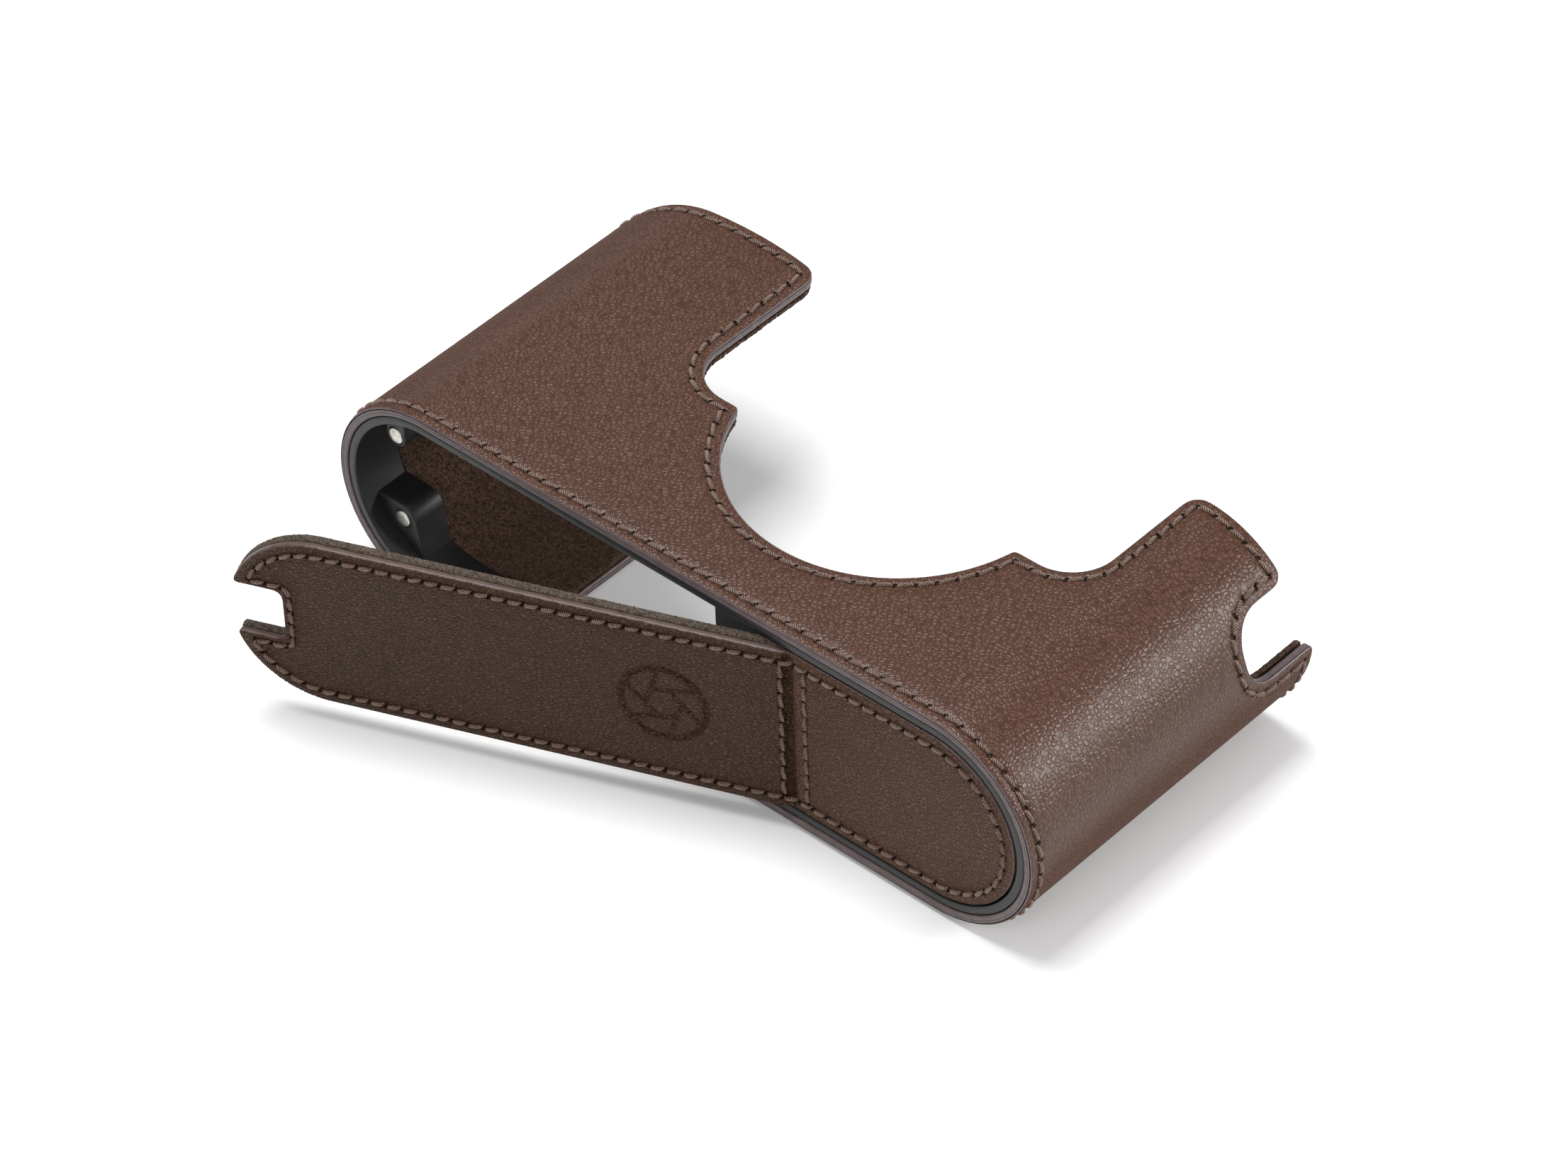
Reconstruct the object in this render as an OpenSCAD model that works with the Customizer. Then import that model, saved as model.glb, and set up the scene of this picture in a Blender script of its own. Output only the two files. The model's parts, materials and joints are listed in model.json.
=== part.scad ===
// Leather half case for a compact rangefinder-size camera body.
// It lies on its back: X runs along the case, Y from the bottom edge up towards
// the open top, Z from the back panel (Z = 0) to the front panel.
// The bottom opening has a fixed pad on the right and a hinged flap on the left.

/* [Case] */
// Outside length over both rounded ends
case_len = 144.5; // [140:0.5:156]
// Outside depth, back panel to front panel
case_depth = 39.6; // [38:0.2:42]
// Height of the back panel above the bottom edge
back_height = 67; // [66:0.5:71.5]
// Height of the wide front wing at the crown of its top edge
wide_wing_height = 68.3; // [66:0.1:72]
// Height of the narrow front wing
small_wing_height = 64.4; // [62:0.1:70]
// Thickness of the outer leather
leather_t = 1.75; // [1.4:0.05:2]
// Thickness of the stiffener between leather and lining
stiffener_t = 0.5; // [0.4:0.05:0.7]
// Thickness of the suede lining
lining_t = 1.0; // [0.8:0.05:1.2]

/* [Lens cut-out] */
// Radius of the lens cut-out
lens_r = 28; // [24:0.5:29]
// Centre of the lens cut-out, right of the middle of the case
lens_x = 10.2; // [8.2:0.2:11]
// Height of the centre of the lens cut-out
lens_y = 42; // [41:0.5:46]

/* [Lug notches] */
// Width of the strap lug notch
lug_w = 13.5; // [12:0.5:15]
// Height of the bottom of the lug notch
lug_y = 51.5; // [48:0.5:55]
// Direction of the right notch, turned from the front face towards the end
lug_angle = 72.3; // [70:0.5:75]
// Direction of the left notch, turned from the front face towards the end
left_lug_angle = 90; // [88:0.5:92]

/* [Display cut-out] */
// Left edge of the display cut-out in the back panel
display_x0 = -36; // [-40:1:-32]
// Right edge of the display cut-out in the back panel
display_x1 = 48; // [40:1:50]
// Bottom edge of the display cut-out
display_y = 11.5; // [11:0.5:14]
// Inner edge of the back panel's left wing above the thumb step
thumb_x = -55; // [-58:1:-55]
// Height of the thumb step in the back panel
thumb_y = 46; // [42:1:48]

/* [Chassis] */
// Height of the moulded ring inside the bottom opening
ring_h = 10; // [8:0.5:11]
// Inner face of the ring, measured in from the outside of the case
ring_inset = 3.35; // [3.2:0.05:3.5]
// Thickness of the base plate
plate_t = 1.6; // [1.2:0.1:2]
// Diameter of the round magnets
magnet_d = 3; // [2.5:0.5:4]

/* [Flap] */
// Position of the fold between pad and flap
hinge_x = 25; // [22:0.5:30]
// Angle at which the flap stands open
open_angle = 22; // [0:1:90]
// Outline of pad and flap, measured in from the outside of the case
flap_inset = 3.7; // [3.65:0.05:4]
// Thickness of the leather on pad and flap
flap_leather_t = 1.3; // [1.1:0.1:1.3]
// Thickness of the board inside the flap
flap_board_t = 0.7; // [0.6:0.1:0.8]
// Thickness of the suede inside the flap
flap_lining_t = 1.3; // [1:0.1:1.3]
// Width of the finger slot in the flap's free end
slot_w = 10; // [8:0.5:11]
// Position of the bottom of the finger slot with the flap closed
slot_x = -59.4; // [-61:0.2:-57]

/* [Seams] */
// Distance of the seams from the cut edges
seam_inset = 2; // [1.8:0.1:2.3]
// Width of the thread
thread_w = 0.7; // [0.6:0.05:0.8]
// Depth that the thread sits in the leather
thread_d = 0.45; // [0.3:0.05:0.5]

/* [Hidden] */
$fn = 96;

clear = 0.05;
far = 120;
end_r = case_depth / 2;
end_x = case_len / 2 - end_r;
mid_z = case_depth / 2;

// Front panel: wide wing on the left, narrow wing on the right
wide_wing_x = -28.9;
wide_wing_corner = 3.6;
crown_x = -44;
crown_r = 76;
crown_centre = [crown_x, wide_wing_height - crown_r];
wing_notch_y = 34.4;
wing_notch_r = 8.4;
dip_y = 36.7;
dip_r = 8;
small_wing_x = 50.4;
small_wing_corner = 2.8;

// Back panel
display_corner_r = 5;
back_wing_corner = 3;
thumb_r = 6;
shoulder_r = 8;

lug_r = 6;

// Magnets sit in two bosses of the ring's left end, where they meet the flap
magnet_x = -62.5;
magnet_reach = 8.75;
magnet_len = 2.5;
magnet_y = 3.5;
boss_r = 2.9;
boss_neck_w = 5;
boss_face_y = 3.6;

plate_y = 3.5;
plate_x = 6;
plate_tab_x = 3;
plate_tab_w = 4;

fold_gap = 0.5;
fold_r = 0.25;
pad_board_t = 2.1;
board_setback = 0.6;
lining_setback = 0.25;
slot_r = 1.5;
keeper_r = 2.5;
cross_offset = 2.1;
emboss_x = 3.7;
emboss_r = 7.1;
emboss_w = 0.8;
emboss_d = 0.3;

leather_colour = "#6e5347";
flap_colour = "#4f3a2c";
suede_colour = "#3a2c24";
thread_colour = "#8d7468";
frame_colour = "#2e2d2f";
board_colour = "#1c1a19";
magnet_colour = "#c8c5bf";

function arc(c, r, a0, a1, n = 24) =
    [for (i = [0:n]) c + r * [cos(a0 + (a1 - a0) * i / n), sin(a0 + (a1 - a0) * i / n)]];

// A corner that sticks out, moved in by e: its radius shrinks until it is sharp
function convex(c, r, e, a0, a1) =
    r > e + 0.1
        ? arc(c, r - e, a0, a1, 8)
        : [c + (r - e) * [cos(a0) + cos(a1), sin(a0) + sin(a1)]];

// Angle of the lens cut-out's edge, grown by e, at height y on its right side
function lens_angle(y, e) = asin((y - lens_y) / (lens_r + e));

// Top edge of the front panel from left to right, moved into the leather by e
function front_edge(e) = let (
    corner_x = wide_wing_x - wide_wing_corner,
    corner_a = acos((corner_x - crown_x) / crown_r),
    corner_y = crown_centre[1] + crown_r * sin(corner_a) - wide_wing_corner,
    left_a = lens_angle(wing_notch_y - e, e),
    right_a = lens_angle(dip_y - e, e)
) concat(
    arc(crown_centre, crown_r - e, 112.5, corner_a, 16),
    convex([corner_x, corner_y], wide_wing_corner, e, 90, 0),
    arc([wide_wing_x + wing_notch_r, wing_notch_y + wing_notch_r], wing_notch_r + e, 180, 270, 12),
    arc([lens_x, lens_y], lens_r + e, 180 - left_a, 360 + right_a, 60),
    arc([small_wing_x - dip_r, dip_y + dip_r], dip_r + e, 270, 360, 12),
    convex([small_wing_x + small_wing_corner, small_wing_height - small_wing_corner],
           small_wing_corner, e, 180, 90),
    [[case_len / 2 + 1, small_wing_height - e]]
);

// Top edge of the back panel from left to right, moved into the leather by e
function back_edge(e) = concat(
    [[-case_len / 2 - 1, back_height - e]],
    convex([thumb_x - back_wing_corner, back_height - back_wing_corner],
           back_wing_corner, e, 90, 0),
    arc([thumb_x + thumb_r, thumb_y + thumb_r], thumb_r + e, 180, 270, 10),
    convex([display_x0 - shoulder_r, thumb_y - shoulder_r], shoulder_r, e, 90, 0),
    arc([display_x0 + display_corner_r, display_y + display_corner_r],
        display_corner_r + e, 180, 270, 10),
    arc([display_x1 - display_corner_r, display_y + display_corner_r],
        display_corner_r + e, 270, 360, 10),
    convex([display_x1 + back_wing_corner, back_height - back_wing_corner],
           back_wing_corner, e, 180, 90),
    [[case_len / 2 + 1, back_height - e]]
);

// Extrudes a 2D outline drawn in X and Z from y0 up to y1
module along_y(y0, y1) {
    translate([0, y1, 0])
        rotate([90, 0, 0])
            linear_extrude(y1 - y0)
                children();
}

// Section of the case, moved in from the outside by inset
module case_section(inset) {
    translate([0, mid_z]) {
        for (side = [-1, 1])
            translate([side * end_x, 0])
                circle(r = end_r - inset);
        square([2 * end_x, 2 * (end_r - inset)], center = true);
    }
}

// Wall between two insets, from y0 upwards
module wall(inset0, inset1, y0, y1) {
    difference() {
        along_y(y0, y1)
            case_section(inset0);
        along_y(y0 - 1, y1 + 1)
            case_section(inset1);
    }
}

// U-shaped outline of the lug notch, moved into the leather by e
module lug_outline(e) {
    r = lug_r + e;
    x = lug_w / 2 - lug_r;
    y = lug_y + lug_r;
    polygon(concat(
        arc([-x, y], r, 180, 270, 10),
        arc([x, y], r, 270, 360, 10),
        [[x + r, far], [-x - r, far]]
    ));
}

// Everything that is cut away above the top edge, moved into the leather by e
module above_edge(e) {
    translate([0, 0, mid_z])
        linear_extrude(far)
            polygon(concat(front_edge(e), [[case_len, far], [-case_len, far]]));
    translate([0, 0, mid_z - far])
        linear_extrude(far)
            polygon(concat(back_edge(e), [[case_len, far], [-case_len, far]]));
    for (side = [0, 1])
        mirror([side, 0, 0])
            translate([end_x, 0, mid_z])
                rotate([0, side == 0 ? lug_angle : left_lug_angle, 0])
                    linear_extrude(2 * end_r)
                        lug_outline(e);
}

// Band of width w that follows the top edge at the seam's distance
module top_seam(w) {
    difference() {
        above_edge(seam_inset + w / 2);
        above_edge(seam_inset - w / 2);
    }
}

module bottom_seam(w, inset0, inset1) {
    wall(inset0, inset1, seam_inset - w / 2, seam_inset + w / 2);
}

module shell_leather() {
    color(leather_colour)
        difference() {
            wall(0, leather_t, 0, wide_wing_height + 1);
            above_edge(0);
            bottom_seam(thread_w + 2 * clear, -1, thread_d);
            intersection() {
                wall(-1, thread_d, 0, wide_wing_height + 1);
                top_seam(thread_w + 2 * clear);
            }
        }
}

module shell_stiffener() {
    color(board_colour)
        difference() {
            wall(leather_t + clear, leather_t + stiffener_t, ring_h + clear, wide_wing_height + 1);
            above_edge(board_setback);
        }
}

module shell_lining() {
    inset = leather_t + stiffener_t + clear;
    color(suede_colour)
        difference() {
            wall(inset, inset + lining_t, ring_h + clear, wide_wing_height + 1);
            above_edge(lining_setback);
        }
}

module thread_shell_bottom() {
    color(thread_colour)
        bottom_seam(thread_w, clear, thread_d - clear);
}

module thread_shell_top() {
    color(thread_colour)
        intersection() {
            wall(clear, thread_d - clear, 0, wide_wing_height + 1);
            top_seam(thread_w);
        }
}

// The place of a magnet: side is 1 at the front and -1 at the back
module at_magnet(side) {
    translate([magnet_x, 0, mid_z + side * magnet_reach])
        rotate([-90, 0, 0])
            children();
}

// Boss that joins a magnet's seat to the ring
module boss_outline(side) {
    reach_x = magnet_x + end_x;
    translate([magnet_x, mid_z + side * magnet_reach])
        circle(r = boss_r);
    translate([-end_x, mid_z])
        rotate(atan2(side * magnet_reach, reach_x))
            translate([norm([reach_x, magnet_reach]), -boss_neck_w / 2])
                square([end_r - ring_inset - norm([reach_x, magnet_reach]) + 0.5, boss_neck_w]);
}

module chassis_ring() {
    color(frame_colour)
        difference() {
            union() {
                wall(leather_t + clear, ring_inset, 0.2, ring_h);
                for (side = [-1, 1])
                    along_y(boss_face_y, ring_h)
                        boss_outline(side);
            }
            for (side = [-1, 1])
                at_magnet(side)
                    cylinder(d = magnet_d + 2 * clear, h = magnet_y + magnet_len + clear);
        }
}

module base_plate() {
    edge_z = case_depth - ring_inset - plate_tab_w;
    color(frame_colour)
        along_y(plate_y, plate_y + plate_t)
            intersection() {
                case_section(ring_inset + clear);
                union() {
                    translate([plate_x, 0])
                        square([case_len, case_depth]);
                    translate([plate_tab_x, edge_z])
                        square([plate_x, case_depth]);
                }
            }
}

module frame_magnet(side) {
    color(magnet_colour)
        translate([0, magnet_y, 0])
            at_magnet(side)
                cylinder(d = magnet_d, h = magnet_len);
}

module frame_magnet_front() {
    frame_magnet(1);
}

module frame_magnet_back() {
    frame_magnet(-1);
}

// Pad outline, moved in by e, with its straight side kept at the fold
module pad_outline(e) {
    intersection() {
        case_section(flap_inset + e);
        translate([hinge_x + fold_gap, 0])
            square([case_len, case_depth]);
    }
}

// Flap outline with the finger slot, moved in by e
module flap_outline(e) {
    w = slot_w + 2 * e;
    r = slot_r;
    difference() {
        intersection() {
            case_section(flap_inset + e);
            translate([hinge_x - fold_gap - case_len, 0])
                square([case_len, case_depth]);
        }
        translate([slot_x + e - far, mid_z - w / 2 + r])
            square([far, w - 2 * r]);
        translate([slot_x + e - far - r, mid_z - w / 2])
            square([far, w]);
        for (side = [-1, 1])
            translate([slot_x + e - r, mid_z + side * (w / 2 - r)])
                circle(r = r);
    }
}

// Turns what is drawn in the closed place about the fold
module flap_pose() {
    translate([hinge_x, 0, 0])
        rotate([0, 0, open_angle])
            translate([-hinge_x, 0, 0])
                children();
}

module cross_seam(x, w, y0, y1) {
    low = flap_inset + seam_inset + thread_w;
    translate([x - w / 2, y0, low])
        cube([w, y1 - y0, case_depth - 2 * low]);
}

module pad_board() {
    color(board_colour)
        along_y(flap_leather_t + clear, flap_leather_t + pad_board_t)
            pad_outline(board_setback);
}

module pad_leather() {
    color(flap_colour)
        difference() {
            along_y(0, flap_leather_t)
                pad_outline(0);
            along_y(-1, thread_d)
                difference() {
                    pad_outline(seam_inset - thread_w / 2 - clear);
                    pad_outline(seam_inset + thread_w / 2 + clear);
                }
            cross_seam(hinge_x + cross_offset, thread_w + 2 * clear, -1, thread_d);
        }
}

module thread_pad_edge() {
    color(thread_colour)
        along_y(clear, thread_d - clear)
            difference() {
                pad_outline(seam_inset - thread_w / 2);
                pad_outline(seam_inset + thread_w / 2);
            }
}

module thread_pad_cross() {
    color(thread_colour)
        cross_seam(hinge_x + cross_offset, thread_w, clear, thread_d - clear);
}

module fold_spine() {
    color(flap_colour)
        translate([hinge_x, 0, flap_inset])
            cylinder(r = fold_r, h = case_depth - 2 * flap_inset);
}

module flap_leather() {
    color(flap_colour)
        flap_pose()
            difference() {
                along_y(0, flap_leather_t)
                    flap_outline(0);
                along_y(-1, thread_d)
                    difference() {
                        flap_outline(seam_inset - thread_w / 2 - clear);
                        flap_outline(seam_inset + thread_w / 2 + clear);
                    }
                cross_seam(hinge_x - cross_offset, thread_w + 2 * clear, -1, thread_d);
                translate([emboss_x, emboss_d, mid_z])
                    rotate([90, 0, 0])
                        difference() {
                            cylinder(r = emboss_r, h = 1);
                            cylinder(r = emboss_r - emboss_w, h = 3, center = true);
                        }
            }
}

module flap_board() {
    y0 = flap_leather_t + clear;
    color(board_colour)
        flap_pose()
            difference() {
                along_y(y0, y0 + flap_board_t - clear)
                    flap_outline(board_setback);
                for (side = [-1, 1])
                    at_magnet(side)
                        cylinder(r = keeper_r + clear, h = 4);
            }
}

module flap_lining() {
    y0 = flap_leather_t + flap_board_t + clear;
    color(suede_colour)
        flap_pose()
            along_y(y0, y0 + flap_lining_t)
                flap_outline(lining_setback);
}

module flap_magnet(side) {
    color(magnet_colour)
        flap_pose()
            translate([0, flap_leather_t + clear, 0])
                at_magnet(side)
                    cylinder(r = keeper_r, h = flap_board_t - clear);
}

module flap_magnet_front() {
    flap_magnet(1);
}

module flap_magnet_back() {
    flap_magnet(-1);
}

module thread_flap_edge() {
    color(thread_colour)
        flap_pose()
            along_y(clear, thread_d - clear)
                difference() {
                    flap_outline(seam_inset - thread_w / 2);
                    flap_outline(seam_inset + thread_w / 2);
                }
}

module thread_flap_cross() {
    color(thread_colour)
        flap_pose()
            cross_seam(hinge_x - cross_offset, thread_w, clear, thread_d - clear);
}

shell_leather();
shell_stiffener();
shell_lining();
thread_shell_bottom();
thread_shell_top();
chassis_ring();
base_plate();
frame_magnet_front();
frame_magnet_back();
pad_board();
pad_leather();
thread_pad_edge();
thread_pad_cross();
fold_spine();
flap_leather();
flap_board();
flap_lining();
flap_magnet_front();
flap_magnet_back();
thread_flap_edge();
thread_flap_cross();
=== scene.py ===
import json
import math

import bpy
import numpy as np
from mathutils import Matrix, Vector
from mathutils.geometry import delaunay_2d_cdt
from mathutils.kdtree import KDTree


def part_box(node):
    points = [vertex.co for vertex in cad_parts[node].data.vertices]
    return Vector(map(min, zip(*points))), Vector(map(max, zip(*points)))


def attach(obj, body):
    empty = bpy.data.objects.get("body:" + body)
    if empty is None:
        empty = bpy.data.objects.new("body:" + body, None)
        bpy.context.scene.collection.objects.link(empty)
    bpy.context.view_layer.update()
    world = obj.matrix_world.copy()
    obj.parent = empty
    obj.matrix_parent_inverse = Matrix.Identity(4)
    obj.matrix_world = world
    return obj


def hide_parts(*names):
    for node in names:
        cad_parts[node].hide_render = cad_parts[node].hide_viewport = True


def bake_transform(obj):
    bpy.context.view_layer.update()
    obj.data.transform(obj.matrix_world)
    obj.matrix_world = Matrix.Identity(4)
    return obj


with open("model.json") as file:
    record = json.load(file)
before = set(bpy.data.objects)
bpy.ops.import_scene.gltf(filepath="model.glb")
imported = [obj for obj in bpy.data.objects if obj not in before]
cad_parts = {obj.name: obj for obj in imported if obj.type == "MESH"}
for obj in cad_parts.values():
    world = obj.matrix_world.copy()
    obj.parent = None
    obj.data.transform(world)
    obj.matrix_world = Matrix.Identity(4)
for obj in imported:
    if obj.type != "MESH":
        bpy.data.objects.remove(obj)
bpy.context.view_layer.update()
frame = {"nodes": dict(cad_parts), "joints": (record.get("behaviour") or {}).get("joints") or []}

# Lengths below are in millimetres; MM turns them into the frame's metres.
MM = 0.001

# ---- sizes from the frame
shell_low, shell_high = (np.array(corner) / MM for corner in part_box("shell_leather"))
ring_low, ring_high = (np.array(corner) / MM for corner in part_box("chassis_ring"))
pad_low = np.array(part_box("pad_leather")[0]) / MM
magnet_low, magnet_high = (np.array(corner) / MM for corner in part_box("frame_magnet_front"))
hinge = frame["joints"][0]
HINGE_X = hinge["pos_m"][0] / MM
OPEN_ANGLE = -hinge["range_deg"][0]

END_R = (shell_high[2] - shell_low[2]) / 2
END_X = shell_high[0] - END_R
MID_Z = (shell_high[2] + shell_low[2]) / 2
# Places along the unrolled wall: where a rounded end meets the back, and the back's middle.
BACK_START = END_X + math.pi * END_R
HALF_ROUND = 2 * END_X + math.pi * END_R
RING_H = ring_high[1]
FLAP_R = END_R - pad_low[2]
MAGNET = (magnet_low + magnet_high) / 2
MAGNET_R = (magnet_high[0] - magnet_low[0]) / 2
MAGNET_REACH = MAGNET[2] - MID_Z

# ---- design values
# Layers of the wall, as depths from the outside
LEATHER_T = 1.75
BOARD_DEPTH = 2.25
LINING_DEPTH = 3.3
# Top line of the walls; X and Y are places in the frame, and the rest are radii, widths or degrees
BACK_HEIGHT = 67
SMALL_WING_HEIGHT = 64.4
WIDE_WING_X, WIDE_WING_CORNER = -28.9, 3.6
CROWN_X, CROWN_R = -44, 76
WING_NOTCH_Y, WING_NOTCH_R = 34.4, 8.4
LENS, LENS_R = (10.2, 42), 28
DIP_Y, DIP_R = 36.7, 8
SMALL_WING_X, SMALL_WING_CORNER = 50.4, 2.8
LUG_W, LUG_Y, LUG_R = 13.5, 51.5, 6
LEFT_LUG_ANGLE, RIGHT_LUG_ANGLE = 90, 72.3
WING_CORNER, TIP_CORNER = 2.2, 0.7
DISPLAY_X0, DISPLAY_X1, DISPLAY_Y = -36, 48, 11.5
DISPLAY_CORNER, BACK_WING_CORNER = 5, 3
THUMB_X, THUMB_Y, THUMB_R, SHOULDER_R = -55, 46, 6, 8

# Bottom cover: leather and suede of the flap, and the finger slot
FLAP_LEATHER_T = 1.3
SUEDE_Y0, SUEDE_T = 2.0, 1.2
SLOT_W, SLOT_X, SLOT_R = 10, -59.4, 1.5
EMBOSS_X, EMBOSS_R, IRIS_R = 3.7, 7.0, 3.1
FOLD_FROM, FOLD_TO = HINGE_X + 1.5, HINGE_X - 1.5

# Seams; slants are in degrees from the seam's direction
SEAM_INSET = 2.0
SLOT_SEAM_INSET = 1.25
SHELL_PITCH, FLAP_PITCH = 3.15, 2.75
CROSS_X = (HINGE_X - 2.1, HINGE_X + 2.1)
HOLE_SLANT, STITCH_SLANT = 52, 6
# A seam starts anew where its line turns more sharply than this cosine.
SHARP_TURN = 0.64

# Loops of points in the shell's mesh, at these distances from its edge
EDGE_LOOPS = (0.1, 0.25, 0.45, 0.8, 1.2)
SEAM_LOOPS = (1.5, 1.75, 2.0, 2.25, 2.5)
LAST_LOOP = 3.4

# Chassis: the circle that the bosses grow from, and where the back one ends on it, in degrees
RING_INSET = 3.35
SEAT_R = END_R - RING_INSET + 0.7
BACK_BOSS_FOOT = 250
# Distance from the magnets' middle to their faces
MAGNET_HALF = 1.25

rng = np.random.default_rng(7)


# ---- lines in the flat
def arc(centre, radius, start, end, step=0.4):
    """Points on a circle's arc between two angles in degrees."""
    count = max(3, math.ceil(abs(math.radians(end - start)) * radius / step))
    turn = np.radians(np.linspace(start, end, count + 1))
    return np.array(centre) + radius * np.column_stack([np.cos(turn), np.sin(turn)])


def along(line):
    """Distance from the line's start at each of its points."""
    return np.concatenate([[0], np.cumsum(np.linalg.norm(np.diff(line, axis=0), axis=1))])


def at(line, distance):
    """Points of the line at the given distances from its start."""
    run = along(line)
    return np.column_stack([np.interp(distance, run, line[:, k]) for k in (0, 1)])


def resample(line, step, closed=False):
    """The line with evenly spaced points; a closed line ends one step before its start."""
    line = np.vstack([line, line[:1]]) if closed else line
    length = along(line)[-1]
    count = max(2, round(length / step))
    return at(line, np.linspace(0, length, count + 1)[: count + (not closed)])


def soften(line, passes, closed=False):
    """Rounds the line's corners off by averaging each point with its neighbours."""
    for _ in range(passes):
        mean = (np.roll(line, 1, axis=0) + 2 * line + np.roll(line, -1, axis=0)) / 4
        if not closed:
            mean[[0, -1]] = line[[0, -1]]
        line = mean
    return line


def closed_line(parts, step, passes=2):
    """One closed line through the parts, evenly spaced and with its corners rounded off."""
    return soften(resample(np.vstack(parts), step, True), passes, True)


def normals(line, closed=False):
    """Unit vectors to the right of the line's direction."""
    if closed:
        step = np.roll(line, -1, axis=0) - np.roll(line, 1, axis=0)
    else:
        step = np.gradient(line, axis=0)
    step = step / np.linalg.norm(step, axis=1)[:, None]
    return np.column_stack([step[:, 1], -step[:, 0]])


def nearest(points, line):
    """Distance from each point to the line, and the index of the line's nearest point."""
    tree = KDTree(len(line))
    for i, (x, y) in enumerate(line):
        tree.insert((x, y, 0), i)
    tree.balance()
    found = [tree.find((x, y, 0)) for x, y in points]
    return np.array([f[2] for f in found]), np.array([f[1] for f in found])


def inset_line(line, distance):
    """The line moved to its right, without the points where it would fold over itself."""
    slack = 0.03
    moved = line + normals(line) * distance
    away, _ = nearest(moved, line)
    return moved[away > distance - slack]


def polygon_area(line):
    """Area inside a closed line, positive where it runs anticlockwise."""
    x, y = line[:, 0], line[:, 1]
    return 0.5 * float(np.sum(x * np.roll(y, -1) - y * np.roll(x, -1)))


def turned(vectors, degrees):
    """The vectors turned anticlockwise."""
    c, s = math.cos(math.radians(degrees)), math.sin(math.radians(degrees))
    return np.column_stack([c * vectors[:, 0] - s * vectors[:, 1], s * vectors[:, 0] + c * vectors[:, 1]])


def inside(points, outline):
    """Whether each point is inside the closed outline."""
    x, y = points[:, 0], points[:, 1]
    within = np.zeros(len(points), bool)
    for (x0, y0), (x1, y1) in zip(outline, np.roll(outline, -1, axis=0)):
        if y0 != y1:
            crossing = (y0 > y) != (y1 > y)
            within ^= crossing & (x < (x1 - x0) * (y - y0) / (y1 - y0) + x0)
    return within


def grid(low, high, step_x, step_y):
    """Points of a grid, every second row moved by half a step."""
    xs = np.arange(low[0], high[0] + step_x / 2, step_x)
    ys = np.arange(low[1], high[1] + step_y / 2, step_y)
    return np.vstack([np.column_stack([xs + (k % 2) * step_x / 2, np.full(len(xs), y)])
                      for k, y in enumerate(ys)])


# ---- seams
class Seam:
    """A row of stitches along a line in the flat, broken at its sharp corners."""

    def __init__(self, line, pitch, closed=False):
        if closed:
            line = np.vstack([line, line[:1]])
        sample, span, fewest = 0.12, 8, 4
        line = resample(line, sample)
        before = line[span:-span] - line[: -2 * span]
        after = line[2 * span:] - line[span:-span]
        turn = (before * after).sum(1) / (np.linalg.norm(before, axis=1) * np.linalg.norm(after, axis=1))
        corners, k = [0], 0
        while k < len(turn):
            if turn[k] < SHARP_TURN:
                end = k
                while end + 1 < len(turn) and turn[end + 1] < SHARP_TURN:
                    end += 1
                corners.append(span + k + int(np.argmin(turn[k:end + 1])))
                k = end
            k += 1
        corners.append(len(line) - 1)
        self.line = line
        self.stitches = []
        for first, last in zip(corners[:-1], corners[1:]):
            if last - first < fewest:
                continue
            run = line[first:last + 1]
            length = along(run)[-1]
            count = max(1, round(length / pitch))
            for i in range(count):
                ends = np.array([i, i + 1]) * length / count
                self.stitches.append((run, ends))
        self.holes = np.array([at(run, ends[:1])[0] for run, ends in self.stitches]
                              + [at(self.stitches[-1][0], self.stitches[-1][1][1:])[0]])
        _, index = nearest(self.holes, line)
        ahead = line[np.minimum(index + 3, len(line) - 1)] - line[np.maximum(index - 3, 0)]
        self.directions = ahead / np.linalg.norm(ahead, axis=1)[:, None]

    def press(self, points, channel=0.2, hole=0.4):
        """How deep the thread and its holes press the leather in at each point."""
        channel_reach, hole_long, hole_wide = 0.42, 0.5, 0.26
        away, _ = nearest(points, self.line)
        deep = channel * np.exp(-((away / channel_reach) ** 2))
        _, index = nearest(points, self.holes)
        off = points - self.holes[index]
        tangent = turned(self.directions[index], HOLE_SLANT)
        lengthways = (off * tangent).sum(1)
        crossways = off[:, 0] * tangent[:, 1] - off[:, 1] * tangent[:, 0]
        return deep + hole * np.exp(-((lengthways / hole_long) ** 2) - (crossways / hole_wide) ** 2)


# ---- meshes
def mesh_object(name, vertices, faces, materials, face_material=None, weld=False):
    """A smooth-shaded mesh object from points in millimetres."""
    mesh = bpy.data.meshes.new(name)
    mesh.from_pydata((np.asarray(vertices) * MM).tolist(), [], faces)
    for material in materials:
        mesh.materials.append(material)
    if face_material is not None:
        mesh.polygons.foreach_set("material_index", np.asarray(face_material, np.int32))
    mesh.polygons.foreach_set("use_smooth", np.full(len(mesh.polygons), True))
    mesh.validate()
    obj = bpy.data.objects.new(name, mesh)
    bpy.context.scene.collection.objects.link(obj)
    if weld:
        obj.modifiers.new("weld", "WELD").merge_threshold = 0.01 * MM
        welded = obj.evaluated_get(bpy.context.evaluated_depsgraph_get())
        mesh = bpy.data.meshes.new_from_object(welded)
        obj.modifiers.clear()
        obj.data = mesh
    return obj


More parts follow.
